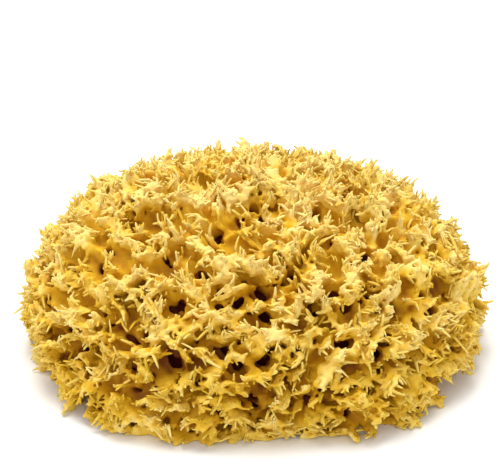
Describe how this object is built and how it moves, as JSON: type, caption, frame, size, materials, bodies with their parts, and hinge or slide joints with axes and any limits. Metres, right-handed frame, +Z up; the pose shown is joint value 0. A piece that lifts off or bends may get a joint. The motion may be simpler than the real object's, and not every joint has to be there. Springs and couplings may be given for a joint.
{
  "type": "sea sponge",
  "caption": "Natural bath sponge: a low dome of pits and fringed tufts, cut flat at the base so that it sits on a shelf.",
  "frame": {"origin": "middle of the flat cut face that the sponge rests on", "axes": "+X along the sponge's width, -Y towards the front, +Z up out of the cut face"},
  "size_m": [0.15, 0.13, 0.062],
  "materials": {
    "sponge": "matte, soft, fibrous"
  },
  "bodies": {
    "root": {"sponge": "sponge"}
  },
  "joints": []
}
